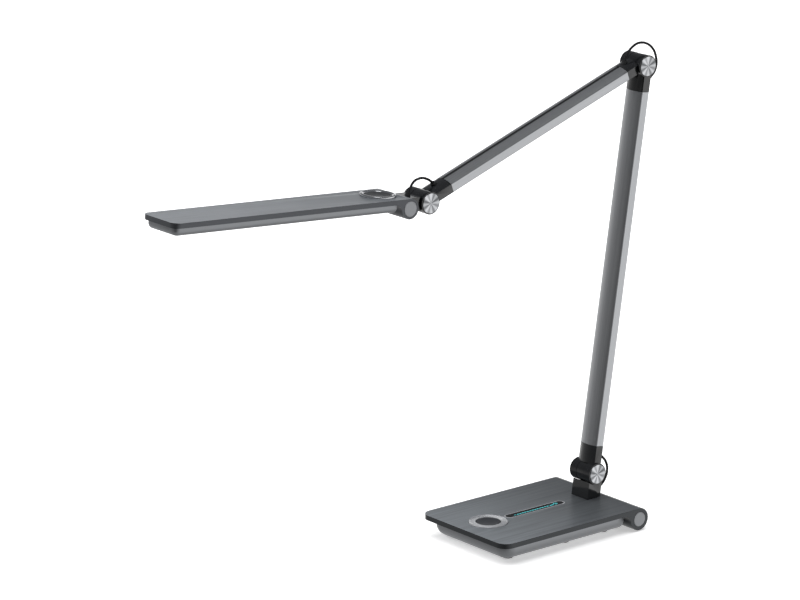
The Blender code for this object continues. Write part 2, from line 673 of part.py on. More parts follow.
def make_neck():
    """The block between the head's rear tube and the head hinge."""
    outline = [(-33, -7.0), (-4, -7.0), (-4, 6.6), (-33, 6.6)]
    neck = prism("head_neck", [outline], -POST_HALF_WIDTH, POST_HALF_WIDTH, head_frame, plane="YZ")
    seat(neck, head_frame)
    tube = (-HEAD_TUBE_BEHIND_HINGE, HEAD_TOP_ABOVE_HINGE - HEAD_TUBE_R)
    cut(neck, rod("neck_tube_seat", HEAD_TUBE_R + CLEARANCE, (-30, *tube), (30, *tube), head_frame, segments=64))
    tongue(neck, (-16, -5.5), (0, 5.5), head_frame)
    gland("head_lead_neck_gland", neck, (-17.6, 6.6), (0.40, 0.92), head_frame)
    finish(neck, "black_plastic")


def make_head_shell():
    plate = rolled_plate("head_plate", HEAD_WIDTH, HEAD_LENGTH, HEAD_THICKNESS, HEAD_TUBE_R, HEAD_BORE_R,
                         HEAD_CORNER_R, HEAD_FILLET_R, head)
    button = (0.0, HEAD_BUTTON_Y)
    cut(plate,
        rod("head_bezel_recess", HEAD_BEZEL_R + CLEARANCE, (*button, -1.0), (*button, 3), head, segments=64),
        rod("head_button_hole", HEAD_BUTTON_R + 0.7, (*button, -6), (*button, 3), head))
    finish(plate, "anodised_grey")
    make_tube_caps("head", HEAD_WIDTH / 2, HEAD_BORE_R - 0.2, HEAD_TUBE_R, head)
    half = HEAD_WIDTH / 2 - HEAD_TRAY_INSET
    shell = tray("head_tray", half, HEAD_TRAY_INSET - HEAD_LENGTH, -14.4, -HEAD_THICKNESS - CLEARANCE,
                 HEAD_TRAY_BOTTOM, HEAD_TRAY_EDGE_R + 1, HEAD_TRAY_EDGE_R, HEAD_TRAY_WALL, head)
    cut(shell, box("light_window", (-17, -264, -15), (17, -42, -10), head))
    finish(shell, "tray_grey")


def make_light():
    window = (17 - CLEARANCE, 264 - CLEARANCE, 42 + CLEARANCE)
    finish(box("head_diffuser", (-window[0], -window[1], -13.1), (window[0], -window[2], -11.9), head), "diffuser")
    finish(box("head_led_board", (-15, -260, -9.2), (15, -46, -8.0), head), "circuit_board")


def make_head_button():
    recess = -1.0 + CLEARANCE
    inner = HEAD_BUTTON_R + 0.4
    bezel = turned("head_button_bezel", [
        (HEAD_BEZEL_R, 1.0), (HEAD_BEZEL_R, recess), (inner, recess), (inner, 1.5), (inner + 0.8, 2.1),
        (HEAD_BEZEL_R - 1.0, 2.1)], head, place=(0, HEAD_BUTTON_Y, 0))
    finish(bezel, "spun_steel")
    button = rod("head_button", HEAD_BUTTON_R, (0, 0, -3.6), (0, 0, 1.3), head, place=(0, HEAD_BUTTON_Y, 0))
    bevel = button.modifiers.new("edge", "BEVEL")
    bevel.width = 0.4 * MM
    bevel.segments = 2
    finish(button, "gloss_black")


make_neck()
make_head_shell()
make_light()
make_head_button()

# ---------------------------------------------------------------- leads that loop over the hinges
# Routes are (y, z) in the hinge's own frame, in millimetres, in the lamp's middle plane.

LOWER_LEAD = [(11.2, 18.7), (13.4, 16.4), (15.6, 14.4), (18.0, 12.4), (20.6, 9.9), (23.4, 6.9), (25.5, 3.2),
              (26.7, -0.3), (26.8, -4.8), (26.2, -9.0), (24.5, -12.4), (22.4, -15.4), (19.9, -18.0),
              (16.4, -19.9), (12.4, -20.5), (8.2, -20.5)]
ELBOW_LEAD = [(-19.2, 2.0), (-18.0, 4.8), (-16.8, 7.8), (-14.4, 12.4), (-10.3, 16.5), (-6.2, 19.1), (-0.8, 20.9),
              (5.4, 20.9), (11.0, 19.3), (16.6, 16.0), (21.7, 10.5), (23.8, 6.0), (25.0, 1.7), (25.4, -2.6),
              (24.8, -6.6), (22.8, -11.0), (19.4, -14.6), (16.2, -16.9), (13.2, -18.7), (10.2, -20.6)]
HEAD_LEAD = [(16.8, 12.5), (15.4, 14.3), (13.6, 16.0), (11.2, 17.9), (7.5, 20.1), (1.7, 22.0), (-3.3, 22.0),
             (-7.7, 20.8), (-11.1, 18.0), (-13.2, 14.9), (-14.7, 12.3), (-15.9, 10.1), (-17.0, 8.0), (-17.6, 6.9)]

lead("lower_hinge_lead", LOWER_LEAD, lower_hinge)
lead("elbow_lead", ELBOW_LEAD, elbow)
lead("head_lead", HEAD_LEAD, head_hinge)
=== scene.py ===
# %% [markdown]
# # A swing arm desk lamp
# The lamp stands on a flat base, and two hinged aluminium arms carry a long flat light head. Its moving parts
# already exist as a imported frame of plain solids. This lesson dresses that frame: it keeps every solid's place,
# softens its edges, gives it a worked finish, and models the pieces that a plain solid can't show.

# %% Load the frame
import json
from math import asin, atan2, cos, pi, radians, sin, sqrt

import bmesh
import bpy
from mathutils import Matrix, Vector


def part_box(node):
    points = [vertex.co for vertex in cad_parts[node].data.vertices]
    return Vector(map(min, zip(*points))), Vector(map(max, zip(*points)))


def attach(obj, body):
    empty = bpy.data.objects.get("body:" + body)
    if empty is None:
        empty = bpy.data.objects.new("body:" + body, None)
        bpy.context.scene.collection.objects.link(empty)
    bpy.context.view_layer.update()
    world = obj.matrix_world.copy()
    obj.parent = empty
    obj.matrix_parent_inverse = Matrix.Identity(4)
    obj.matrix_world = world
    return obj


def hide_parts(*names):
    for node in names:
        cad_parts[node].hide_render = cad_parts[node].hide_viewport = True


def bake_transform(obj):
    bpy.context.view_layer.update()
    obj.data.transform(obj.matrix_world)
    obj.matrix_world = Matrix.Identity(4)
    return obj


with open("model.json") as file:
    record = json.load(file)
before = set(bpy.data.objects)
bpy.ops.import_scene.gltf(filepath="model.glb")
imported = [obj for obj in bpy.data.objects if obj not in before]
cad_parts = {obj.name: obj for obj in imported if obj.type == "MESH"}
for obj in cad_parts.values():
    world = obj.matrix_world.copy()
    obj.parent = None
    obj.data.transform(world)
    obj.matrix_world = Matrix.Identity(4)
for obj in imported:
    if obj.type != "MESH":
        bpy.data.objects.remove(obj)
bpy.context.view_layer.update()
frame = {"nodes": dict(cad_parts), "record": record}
record = frame["record"]["behaviour"]
BODY_OF = {node: body for body, nodes in record["bodies"].items() for node in nodes}
PIVOT = {joint["name"]: Vector(joint["pos_m"]) for joint in record["joints"] if "pos_m" in joint}
MM = 0.001

# %% [markdown]
# ## Four tilted frames
# The base lies flat, but each arm leans and the head tips up a little. It is easiest to model every piece flat
# and straight, in its own small frame, and then to turn the finished mesh into place. These four matrices do it.

# %% Working frames
LOWER_ARM_LEAN = -8.68
UPPER_ARM_DROP = 18.94
HEAD_TILT = -4.5


def frame_at(place, turn_x):
    """A matrix that turns about X and then moves to a place in metres."""
    return Matrix.Translation(place) @ Matrix.Rotation(radians(turn_x), 4, "X")


base_low, base_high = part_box("base_plate")
BASE_FRAME = frame_at(Vector((0.0, base_high[1] - 11.6 * MM, base_high[2])), 0.0)
LOWER_ARM_FRAME = frame_at(PIVOT["lower_hinge"], LOWER_ARM_LEAN)
UPPER_ARM_FRAME = frame_at(PIVOT["elbow"], UPPER_ARM_DROP)
HEAD_FRAME = frame_at(PIVOT["head_hinge"], HEAD_TILT) @ Matrix.Translation((0.0, -34.5 * MM, 9.55 * MM))
for label, place in (("base", BASE_FRAME), ("head", HEAD_FRAME)):
    print(label, "frame at", [round(value, 4) for value in place.translation])

# %% [markdown]
# ## The camera
# A long lens far away keeps the lamp's upright lines upright, which suits a product view. The lens length and the
# place come from the lamp's own straight edges, so they are stated as plain numbers.

# %% Camera
CAMERA_PLACE = (2.96556, -2.45346, 1.36852)
CAMERA_ELEVATION = 15.91
CAMERA_AZIMUTH = 50.67

lens = bpy.data.cameras.new("camera")
lens.sensor_width = 36.0
lens.lens = 185.69
lens.clip_end = 100.0
camera = bpy.data.objects.new("camera", lens)
camera.location = CAMERA_PLACE
camera.rotation_euler = (radians(90 - CAMERA_ELEVATION), 0.0, radians(CAMERA_AZIMUTH))
bpy.context.scene.collection.objects.link(camera)
bpy.context.scene.camera = camera
print("camera at", [round(value, 3) for value in camera.location])

# %% [markdown]
# ## Arithmetic on shader sockets
# A finish is easier to read as a sum than as a web of boxes. This class wraps one output of a node tree, so that
# `1 - mask` or `grain * 0.2` adds the Math nodes by itself. Its `node` method adds any other kind of node, and
# the same class serves the geometry trees further down.

# %% Signal class
class Signal:
    """One output in a node tree. Arithmetic on it adds Math nodes to the tree."""

    def __init__(self, tree, socket=None):
        self.tree = tree
        self.socket = socket

    def node(self, kind, settings=None, inputs=None, output=0):
        """Adds a node, sets it up, connects or fills its inputs, and returns one of its outputs."""
        made = self.tree.nodes.new(kind)
        for name, value in (settings or {}).items():
            if name == "stops":
                while len(made.color_ramp.elements) < len(value):
                    made.color_ramp.elements.new(0.5)
                for element, (position, grey) in zip(made.color_ramp.elements, value):
                    element.position = position
                    element.color = (grey, grey, grey, 1.0)
            else:
                setattr(made, name, value)
        for name, value in (inputs or {}).items():
            for single in value if isinstance(value, list) else [value]:
                if isinstance(single, Signal):
                    self.tree.links.new(single.socket, made.inputs[name])
                else:
                    made.inputs[name].default_value = single
        return Signal(self.tree, made.outputs[output])

    def output(self, name):
        """Another output of the node that this signal comes from."""
        return Signal(self.tree, self.socket.node.outputs[name])

    def math(self, operation, *values):
        return self.node("ShaderNodeMath", {"operation": operation}, dict(enumerate(values)))

    def sine(self):
        return self.math("SINE", self)

    def cosine(self):
        return self.math("COSINE", self)

    def __add__(self, other):
        return self.math("ADD", self, other)

    def __sub__(self, other):
        return self.math("SUBTRACT", self, other)

    def __rsub__(self, other):
        return self.math("SUBTRACT", other, self)

    def __mul__(self, other):
        return self.math("MULTIPLY", self, other)

    def __pow__(self, other):
        return self.math("POWER", self, other)

    __radd__ = __add__
    __rmul__ = __mul__

    def clamped(self):
        """The signal held between 0 and 1."""
        return self.node("ShaderNodeClamp", None, {"Value": self})

    def between(self, first, second):
        """A colour that goes from the first to the second as this signal goes from 0 to 1."""
        colours = [value if isinstance(value, Signal) else (*value, 1.0) for value in (first, second)]
        return self.node("ShaderNodeMix", {"data_type": "RGBA"}, {0: self, 6: colours[0], 7: colours[1]}, 2)


# %% [markdown]
# ## A start for every finish
# Each finish is a Principled material. What is the same all over is set on the shader's own sockets, and only what
# changes over the surface is linked. Patterns read Object coordinates, which stay put when a joint turns.

# %% Material helpers
SOCKETS = {
    "base_color": "Base Color", "roughness": "Roughness", "normal": "Normal", "emission_color": "Emission Color",
    "emission_strength": "Emission Strength", "coat_weight": "Coat Weight", "ior": "IOR",
}


def new_finish(name, colour, roughness, metallic, **constants):
    """A Principled material, its shader, and a Signal to start its patterns from."""
    material = bpy.data.materials.new(name)
    material.use_nodes = True
    shader = material.node_tree.nodes["Principled BSDF"]
    shader.inputs["Base Color"].default_value = (*colour, 1.0)
    shader.inputs["Roughness"].default_value = roughness
    shader.inputs["Metallic"].default_value = metallic
    for socket, value in constants.items():
        shader.inputs[SOCKETS[socket]].default_value = value
    return material, shader, Signal(material.node_tree)


def feed(shader, **signals):
    """Links signals to the shader's sockets, such as base_color or roughness."""
    for socket, signal in signals.items():
        signal.tree.links.new(signal.socket, shader.inputs[SOCKETS[socket]])


def placed(start, place=(0.0, 0.0, 0.0), turn_x=0.0):
    """Object coordinates, measured from a place in metres and turned back by an angle about X."""
    flat = start.node("ShaderNodeTexCoord", output="Object")
    moved = start.node("ShaderNodeMapping", {"vector_type": "POINT"},
                       {"Vector": flat, "Location": tuple(-value for value in place)})
    return start.node("ShaderNodeMapping", {"vector_type": "POINT"},
                      {"Vector": moved, "Rotation": (radians(-turn_x), 0.0, 0.0)})


def noise(start, vector, scale, detail=3.0, roughness=0.5):
    """A noise value; scale is in repeats for each metre, one number or three."""
    sizes = scale if isinstance(scale, tuple) else (scale,) * 3
    spread = start.node("ShaderNodeMapping", {"vector_type": "POINT"}, {"Vector": vector, "Scale": sizes})
    return start.node("ShaderNodeTexNoise", None,
                      {"Vector": spread, "Scale": 1.0, "Detail": detail, "Roughness": roughness})


def bumped(start, height, distance):
    """A normal with small relief; distance is the relief's depth in metres."""
    return start.node("ShaderNodeBump", None, {"Height": height, "Strength": 1.0, "Distance": distance})


def split(start, vector):
    """The X, Y and Z of a vector."""
    parts = start.node("ShaderNodeSeparateXYZ", None, {"Vector": vector}, "X")
    return parts, parts.output("Y"), parts.output("Z")


# %% [markdown]
# ## Anodised plates
# The base and the head are dark anodised aluminium. Their tops are brushed along their length, which leaves fine
# long streaks, while their edges are smoother and darker. A noise stretched a hundred times along one axis makes
# the streaks, and the surface's own normal tells the top from the edges. The top also carries a painted light
# falloff: its colour is painted lighter at the front and darker toward the rear.

# %% Brushed plates
def brushed_plate(name, turn_x, front, rear, reach, edge):
    """Dark anodised aluminium, brushed along Y on top; its top colour is painted lighter at the front and darker at the
    rear between two Y values, a painted light falloff.
    """
    material, shader, start = new_finish(name, front, 0.36, 0.6)
    vector = placed(start, turn_x=turn_x)
    # Painted light: the top's colour goes from the front colour to the darker rear colour along Y, standing in for the
    # studio light falling off toward the rear.
    painted_light_drift = start.node("ShaderNodeMapRange", None, {"Value": split(start, vector)[1], "From Min": reach[0],
                                                    "From Max": reach[1]})
    top = painted_light_drift.between(front, rear)
    fine = noise(start, vector, (1500.0, 14.0, 40.0), detail=2.0)
    broad = noise(start, vector, (420.0, 6.0, 20.0), detail=2.0)
    streaks = fine * 0.55 + broad * 0.45
    facing = split(start, start.node("ShaderNodeTexCoord", output="Normal"))[2]
    is_top = ((facing - 0.8) * 8.0).clamped()
    tone = (streaks * 2.4 - 0.7).clamped()
    shade = top.node("ShaderNodeVectorMath", {"operation": "SCALE"}, {0: top, "Scale": tone * 0.72 + 0.62})
    colour = is_top.between(edge, shade)
    smudge = noise(start, vector, 22.0)
    feed(shader, base_color=colour, roughness=streaks * 0.22 + smudge * 0.08 + 0.2,
         normal=bumped(start, streaks * is_top, 0.00006))
    return material


# The second and third colours are the painted light falloff on each plate's top: lighter at the front, darker at the
# rear.
base_metal = brushed_plate("base_anodised", 0.0, (0.32, 0.345, 0.37), (0.115, 0.124, 0.134), (0.055, 0.235),
                           (0.050, 0.054, 0.058))
head_metal = brushed_plate("head_anodised", HEAD_TILT, (0.285, 0.302, 0.325), (0.180, 0.192, 0.208), (-0.30, 0.0),
                           (0.085, 0.090, 0.098))
print("plate finishes:", base_metal.name, head_metal.name)

# %% [markdown]
# ## Satin extrusions
# The arms are extruded and anodised in silver. An extrusion carries faint die lines along its whole length and a
# very fine blasted grain. The lines run along each arm, so each arm turns the pattern by its own lean.

# %% Arm metal
def extruded_metal(name, turn_x, scale):
    """Satin silver with faint die lines; scale stretches the lines along the arm."""
    material, shader, start = new_finish(name, (0.44, 0.45, 0.465), 0.34, 0.9)
    vector = placed(start, turn_x=turn_x)
    lines = noise(start, vector, scale, detail=2.0)
    grain = noise(start, vector, 2600.0, detail=1.0)
    tone = (lines * 1.6 - 0.3).clamped()
    feed(shader, base_color=tone.between((0.39, 0.40, 0.415), (0.49, 0.50, 0.515)),
         roughness=lines * 0.14 + grain * 0.12 + 0.22, normal=bumped(start, grain + lines, 0.00002))
    return material


lower_arm_metal = extruded_metal("lower_arm_silver", LOWER_ARM_LEAN, (900.0, 900.0, 4.0))
upper_arm_metal = extruded_metal("upper_arm_silver", UPPER_ARM_DROP, (900.0, 4.0, 900.0))
print("arm finishes:", lower_arm_metal.name, upper_arm_metal.name)

# %% [markdown]
# ## Spun metal
# A disc faced on a lathe has grooves in circles, and on real metal each groove mirrors the light into bright and dark
# sectors about the centre. Here those sectors are painted reflections: the angle about the disc's centre paints them
# into the colour, and the distance from it drives the grooves, which are real relief.

# %% Spun metal
def spun_metal_with_painted_sheen(name, centre, axis, painted_fan_count, dark, light, turn_x=0.0, groove=2600.0, painted_fan_depth=1.0,
               metallic=1.0):
    """Lathe-turned metal about a centre; axis is X or Z; its bright and dark sectors are painted reflections in the
    colour.
    """
    material, shader, start = new_finish(name, light, 0.24, metallic)
    along_x, along_y, along_z = split(start, placed(start, centre, turn_x))
    first, second = (along_y, along_z) if axis == "X" else (along_x, along_y)
    angle = first.math("ARCTAN2", first, second)
    radius = (first * first + second * second) ** 0.5
    # Painted reflection: these terms paint bright and dark sectors into the colour by the angle about the centre.
    painted_reflection_fan = (angle * float(painted_fan_count)).cosine() * 0.34
    painted_light_drift = (angle * 3.0 + 0.8).cosine() * 0.16
    broad = (angle * 2.0 + 0.4).cosine() * 0.16
    tone = ((painted_reflection_fan + painted_light_drift + broad) * painted_fan_depth + 0.52).clamped()
    grooves = (radius * groove * 2.0).sine() * 0.5 + 0.5
    fine = noise(start, placed(start, centre, turn_x), 900.0, detail=2.0)
    feed(shader, base_color=(tone * 0.88 + fine * 0.12).between(dark, light),
         roughness=fine * 0.12 + 0.17, normal=bumped(start, grooves, 0.000012))
    return material


# The discs' eight bright and dark sectors are painted reflections in their colour.
disc_metal = {
    name: spun_metal_with_painted_sheen(name + "_spun", tuple(PIVOT[name]), "X", 8, (0.10, 0.105, 0.11), (0.60, 0.61, 0.63))
    for name in ("lower_hinge", "elbow", "head_hinge")}
print("spun finishes:", len(disc_metal))

# %% [markdown]
# ## Plain finishes
# The rest of the lamp is moulded plastic, painted metal and rubber. None of them is one flat colour: moulded
# plastic has a fine pebbled grain, metallic paint has flakes, rubber has dust. One function makes them all from
# three numbers for the grain.

# %% Moulded, painted and rubber finishes
def grained(name, colour, roughness, metallic, size, depth, tone=0.12, **constants):
    """A plain finish with a grain of a given size in repeats a metre, depth in metres and colour change."""
    material, shader, start = new_finish(name, colour, roughness, metallic, **constants)
    vector = placed(start)
    grain = noise(start, vector, size, detail=2.0)
    cloud = noise(start, vector, 35.0)
    shade = (grain * 0.6 + cloud * 0.4).clamped()
    low, high = (tuple(value * factor for value in colour) for factor in (1 - tone, 1 + tone))
    feed(shader, base_color=shade.between(low, high), roughness=grain * 0.1 + cloud * 0.08 + (roughness - 0.09),
         normal=bumped(start, grain, depth))
    return material


fitting_plastic = grained("fitting_plastic", (0.007, 0.0075, 0.0085), 0.22, 0.0, 1400.0, 0.000012, 0.15,
                          coat_weight=0.5)
gloss_plastic = grained("post_gloss_plastic", (0.006, 0.0065, 0.007), 0.12, 0.0, 500.0, 0.000003, 0.1,
                        coat_weight=0.8)
tray_paint = grained("tray_paint", (0.30, 0.31, 0.325), 0.42, 0.75, 3200.0, 0.00001, 0.14)
cap_plastic = grained("cap_plastic", (0.36, 0.37, 0.385), 0.5, 0.35, 1500.0, 0.00005, 0.2)
screen_black = grained("screen_black", (0.006, 0.006, 0.007), 0.2, 0.0, 60.0, 0.000001, 0.1, ior=1.25)
foot_rubber = grained("foot_rubber", (0.03, 0.03, 0.03), 0.75, 0.0, 900.0, 0.00008, 0.25)
cast_ballast = grained("cast_ballast", (0.12, 0.12, 0.125), 0.6, 0.8, 500.0, 0.0003, 0.3)
board_green = grained("board_green", (0.02, 0.13, 0.06), 0.4, 0.0, 700.0, 0.00002, 0.2)
groove_black = grained("groove_black", (0.012, 0.012, 0.013), 0.5, 0.0, 1200.0, 0.00004, 0.2)
polished_steel = grained("polished_steel", (0.72, 0.73, 0.75), 0.14, 1.0, 1200.0, 0.000002, 0.06)
strip_silver = grained("strip_silver", (0.62, 0.63, 0.65), 0.35, 0.4, 1800.0, 0.00001, 0.1)
satin_steel = grained("satin_steel", (0.5, 0.51, 0.53), 0.3, 1.0, 1800.0, 0.00001, 0.1)
braid_yarn = grained("braid_yarn", (0.014, 0.014, 0.016), 0.6, 0.0, 5000.0, 0.00006, 0.35)
print("finishes so far:", len(bpy.data.materials))

# %% [markdown]
# ## Two made-up surfaces
# The light window is a frosted plastic pressed with small prisms, and the head's button is covered with a fine
# woven cloth-like skin. Both repeat in two directions, so two sine waves multiplied together draw them.

# %% Frosted window and woven button
def woven(name, turn_x, colour, count, depth, roughness, tone):
    """A finish with a two-way repeat, count for each metre."""
    material, shader, start = new_finish(name, colour, roughness, 0.0, ior=1.25)
    along_x, along_y, along_z = split(start, placed(start, turn_x=turn_x))
    across = (along_x * count * 2 * pi).sine()
    down = (along_y * count * 2 * pi).sine()
    cells = across * down * 0.5 + 0.5
    low, high = (tuple(value * factor for value in colour) for factor in (1 - tone, 1 + tone))
    feed(shader, base_color=cells.between(low, high), roughness=cells * 0.2 + (roughness - 0.1),
         normal=bumped(start, cells, depth))
    return material


window_frost = woven("window_frost", HEAD_TILT, (0.80, 0.81, 0.80), 420.0, 0.00008, 0.4, 0.06)
woven_black = woven("woven_black", HEAD_TILT, (0.022, 0.023, 0.025), 620.0, 0.00006, 0.42, 0.5)
dial_black = woven("dial_black", 0.0, (0.030, 0.032, 0.036), 700.0, 0.00004, 0.4, 0.4)
print("woven finishes:", window_frost.name, woven_black.name, dial_black.name)

# %% [markdown]
# ## Dressing the solids
# Most solids already have the right shape, but their edges are knife sharp and a real edge always catches a thin
# line of light. So each one is copied, its loose triangles are merged, and a small bevel rounds its edges. The
# copy stands for the solid and rides on the same body.

# %% Dressed copies
scene_collection = bpy.context.scene.collection


def add_piece(name, mesh, finish, body, *nodes):
    """Links a finished mesh as a piece that rides on a body and stands for some solids."""
    piece = bpy.data.objects.new(name, mesh)
    mesh.materials.clear()
    mesh.materials.append(finish)
    scene_collection.objects.link(piece)
    if nodes:
        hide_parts(*nodes)
    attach(piece, body)
    return piece


def dressed(node, finish, soften=0.3, segments=2, sharp=35.0):
    """A merged copy of a solid with its edges rounded by a few tenths of a millimetre."""
    bm = bmesh.new()
    bm.from_mesh(frame["nodes"][node].data)
    bmesh.ops.remove_doubles(bm, verts=bm.verts[:], dist=0.000002)
    bmesh.ops.dissolve_limit(bm, angle_limit=radians(0.5), verts=bm.verts[:], edges=bm.edges[:])
    mesh = bpy.data.meshes.new(node + "_dressed")
    bm.to_mesh(mesh)
    bm.free()
    mesh.shade_smooth()
    mesh.set_sharp_from_angle(angle=radians(sharp))
    piece = add_piece(node + "_dressed", mesh, finish, BODY_OF[node], node)
    if soften:
        bevel = piece.modifiers.new("soft_edges", "BEVEL")
        bevel.width = soften * MM
        bevel.segments = segments
        bevel.limit_method = "ANGLE"
        bevel.angle_limit = radians(sharp)
        bevel.harden_normals = True
    return piece


DRESS = {
    "base_plate": (base_metal, 0.5), "head_plate": (head_metal, 0.45),
    "base_undertray": (tray_paint, 0.4), "head_tray": (tray_paint, 0.3),
    "base_tube_cap_left": (cap_plastic, 0.0), "base_tube_cap_right": (cap_plastic, 0.0),
    "head_tube_cap_left": (cap_plastic, 0.0), "head_tube_cap_right": (cap_plastic, 0.0),
    "post_block": (gloss_plastic, 0.4), "head_neck": (fitting_plastic, 0.3),
    "lower_arm_foot_fitting": (fitting_plastic, 0.3), "lower_arm_top_fitting": (fitting_plastic, 0.3),
    "upper_arm_rear_fitting": (fitting_plastic, 0.3), "upper_arm_front_fitting": (fitting_plastic, 0.3),
    "ballast_slab": (cast_ballast, 0.8), "control_board": (board_green, 0.0), "head_led_board": (board_green, 0.0),
    "head_diffuser": (window_frost, 0.2), "power_inlet": (fitting_plastic, 0.15),
    "swivel_spigot": (satin_steel, 0.2),
    "lower_channel_strip": (groove_black, 0.2), "upper_channel_strip": (groove_black, 0.2),
}
for node, (finish, soften) in DRESS.items():
    dressed(node, finish, soften)
for node in ("lower_hinge_axle", "elbow_axle", "head_hinge_axle"):
    dressed(node, satin_steel, 0.3)
for node in BODY_OF:
    if node.endswith("gland"):
        dressed(node, groove_black, 0.25)
print("dressed solids:", len(DRESS) + 9)

# %% [markdown]
# ## Geometry Nodes helpers
# A part that repeats or follows a path is best made by a small node tree with named inputs. The helper below
# starts a tree, and `grow` runs a tree on some geometry, takes the result as a plain mesh and throws the
# modifier away, so that the piece can then ride on a body like any other.

# %% Tree helpers
def new_tree(name, **sockets):
    """A geometry tree with named inputs; returns the tree and its input signals."""
    tree = bpy.data.node_groups.new(name, "GeometryNodeTree")
    tree.interface.new_socket("Geometry", in_out="INPUT", socket_type="NodeSocketGeometry")
    tree.interface.new_socket("Geometry", in_out="OUTPUT", socket_type="NodeSocketGeometry")
    for label, kind in sockets.items():
        tree.interface.new_socket(label.replace("_", " "), in_out="INPUT", socket_type="NodeSocket" + kind)
    entry = Signal(tree).node("NodeGroupInput")
    return tree, {socket.name: entry.output(socket.name) for socket in entry.socket.node.outputs if socket.name}


def end_tree(shape, finish):
    """Realizes the instances, sets the material and closes the tree."""
    real = shape.node("GeometryNodeRealizeInstances", None, {"Geometry": shape})
    painted = real.node("GeometryNodeSetMaterial", None, {"Geometry": real, "Material": finish})
    out = shape.tree.nodes.new("NodeGroupOutput")
    shape.tree.links.new(painted.socket, out.inputs["Geometry"])


def grow(data, tree, place=None, **values):
    """Runs a tree on a mesh or curve and returns the plain mesh that it makes, moved by a matrix."""
    holder = bpy.data.objects.new("holder", data)
    scene_collection.objects.link(holder)
    modifier = holder.modifiers.new("grow", "NODES")
    modifier.node_group = tree
    for item in tree.interface.items_tree:
        if item.in_out == "INPUT" and item.name.replace(" ", "_") in values:
            modifier[item.identifier] = values[item.name.replace(" ", "_")]
    bpy.context.view_layer.update()
    depsgraph = bpy.context.evaluated_depsgraph_get()
    mesh = bpy.data.meshes.new_from_object(holder.evaluated_get(depsgraph))
    bpy.data.objects.remove(holder)
    if place is not None:
        mesh.transform(place)
    return mesh


def mesh_volume(mesh):
    """The mesh's volume, which is negative when its faces point inwards."""
    bm = bmesh.new()
    bm.from_mesh(mesh)
    volume = bm.calc_volume(signed=True)
    bm.free()
    return volume


def smooth(mesh, angle=35.0):
    """Smooth shading with the corners kept."""
    mesh.shade_smooth()
    mesh.set_sharp_from_angle(angle=radians(angle))
    return mesh


# %% [markdown]
# ## The two arms
# An extrusion is a rule: one section pushed along a straight line. The section has flat sides, two gently crowned
# faces and a groove that hides the wire. The tree below takes the section as one flat face, pushes it out, and
# closes the far end with a flipped copy of the face.

# %% Section of the arms
ARM_HALF = 12.1
ARM_SIDE = 4.4
ARM_CROWN = 3.7
GROOVE_HALF = 1.9
GROOVE_DEPTH = 2.4
CORNER = 0.35


def arm_section():
    """The section's points in millimetres, with the groove on its upper face."""
    crown_r = ARM_HALF ** 2 / (2 * ARM_CROWN) + ARM_CROWN / 2
    centre = ARM_SIDE + ARM_CROWN - crown_r
    spread = asin((ARM_HALF - CORNER) / crown_r)
    angles = [spread * (1 - step / 16) for step in range(33)]
    face = [(crown_r * sin(angle), centre + crown_r * cos(angle)) for angle in angles]
    lip = centre + sqrt(crown_r ** 2 - GROOVE_HALF ** 2)
    floor = ARM_SIDE + ARM_CROWN - GROOVE_DEPTH
    groove = [(GROOVE_HALF, lip), (GROOVE_HALF, floor), (-GROOVE_HALF, floor), (-GROOVE_HALF, lip)]
    right = [point for point in face if point[0] > GROOVE_HALF]
    left = [point for point in face if point[0] < -GROOVE_HALF]
    edge = ARM_SIDE - CORNER
    upper = [(ARM_HALF, edge)] + right + groove + left + [(-ARM_HALF, edge)]
    lower = [(-ARM_HALF, -edge)] + [(-x, -y) for x, y in face] + [(ARM_HALF, -edge)]
    return upper + lower


def section_face(points, offset):
    """The section as one flat face in the XY plane."""
    mesh = bpy.data.meshes.new("section")
    corners = [(x * MM, (y + offset) * MM, 0.0) for x, y in points]
    mesh.from_pydata(corners, [], [tuple(range(len(corners)))])
    return mesh


extrude_tree, given = new_tree("straight_extrusion", Length="Float", Finish="Material")
push = given["Length"].node("ShaderNodeCombineXYZ", None, {"Z": given["Length"]})
raised = push.node("GeometryNodeExtrudeMesh", {"mode": "FACES"},
                   {"Mesh": given["Geometry"], "Offset": push, "Offset Scale": 1.0, "Individual": False})
flipped = push.node("GeometryNodeFlipFaces", None, {"Mesh": given["Geometry"]})
closed = push.node("GeometryNodeJoinGeometry", None, {"Geometry": [raised, flipped]})
welded = push.node("GeometryNodeMergeByDistance", None, {"Geometry": closed, "Distance": 0.000001})
end_tree(welded, given["Finish"])

# %% Grow the arms
ARMS = {
    "lower_arm_tube": (lower_arm_metal, 28.5, 392.5, 1.4, LOWER_ARM_FRAME),
    "upper_arm_tube": (upper_arm_metal, 24.6, 265.4, 1.1, UPPER_ARM_FRAME @ Matrix.Rotation(radians(90), 4, "X")),
}
for node, (finish, start_z, end_z, offset, place) in ARMS.items():
    along = place @ Matrix.Translation((0.0, 0.0, start_z * MM))
    mesh = grow(section_face(arm_section(), offset), extrude_tree, along,
                Length=(end_z - start_z) * MM, Finish=finish)
    add_piece(node + "_extrusion", smooth(mesh, 25.0), finish, BODY_OF[node], node)
    print(node, "is", round(end_z - start_z, 1), "mm long with", len(mesh.polygons), "faces")

# %% [markdown]
# ## Where a plate rolls into its tube
# Under each plate a broad concave fillet leads into the rear tube. It follows a rule too: an arc that touches the
# flat underside and the round tube. The arc closes on a few points inside the tube, and the same extrusion tree
# pushes the section across the lamp.

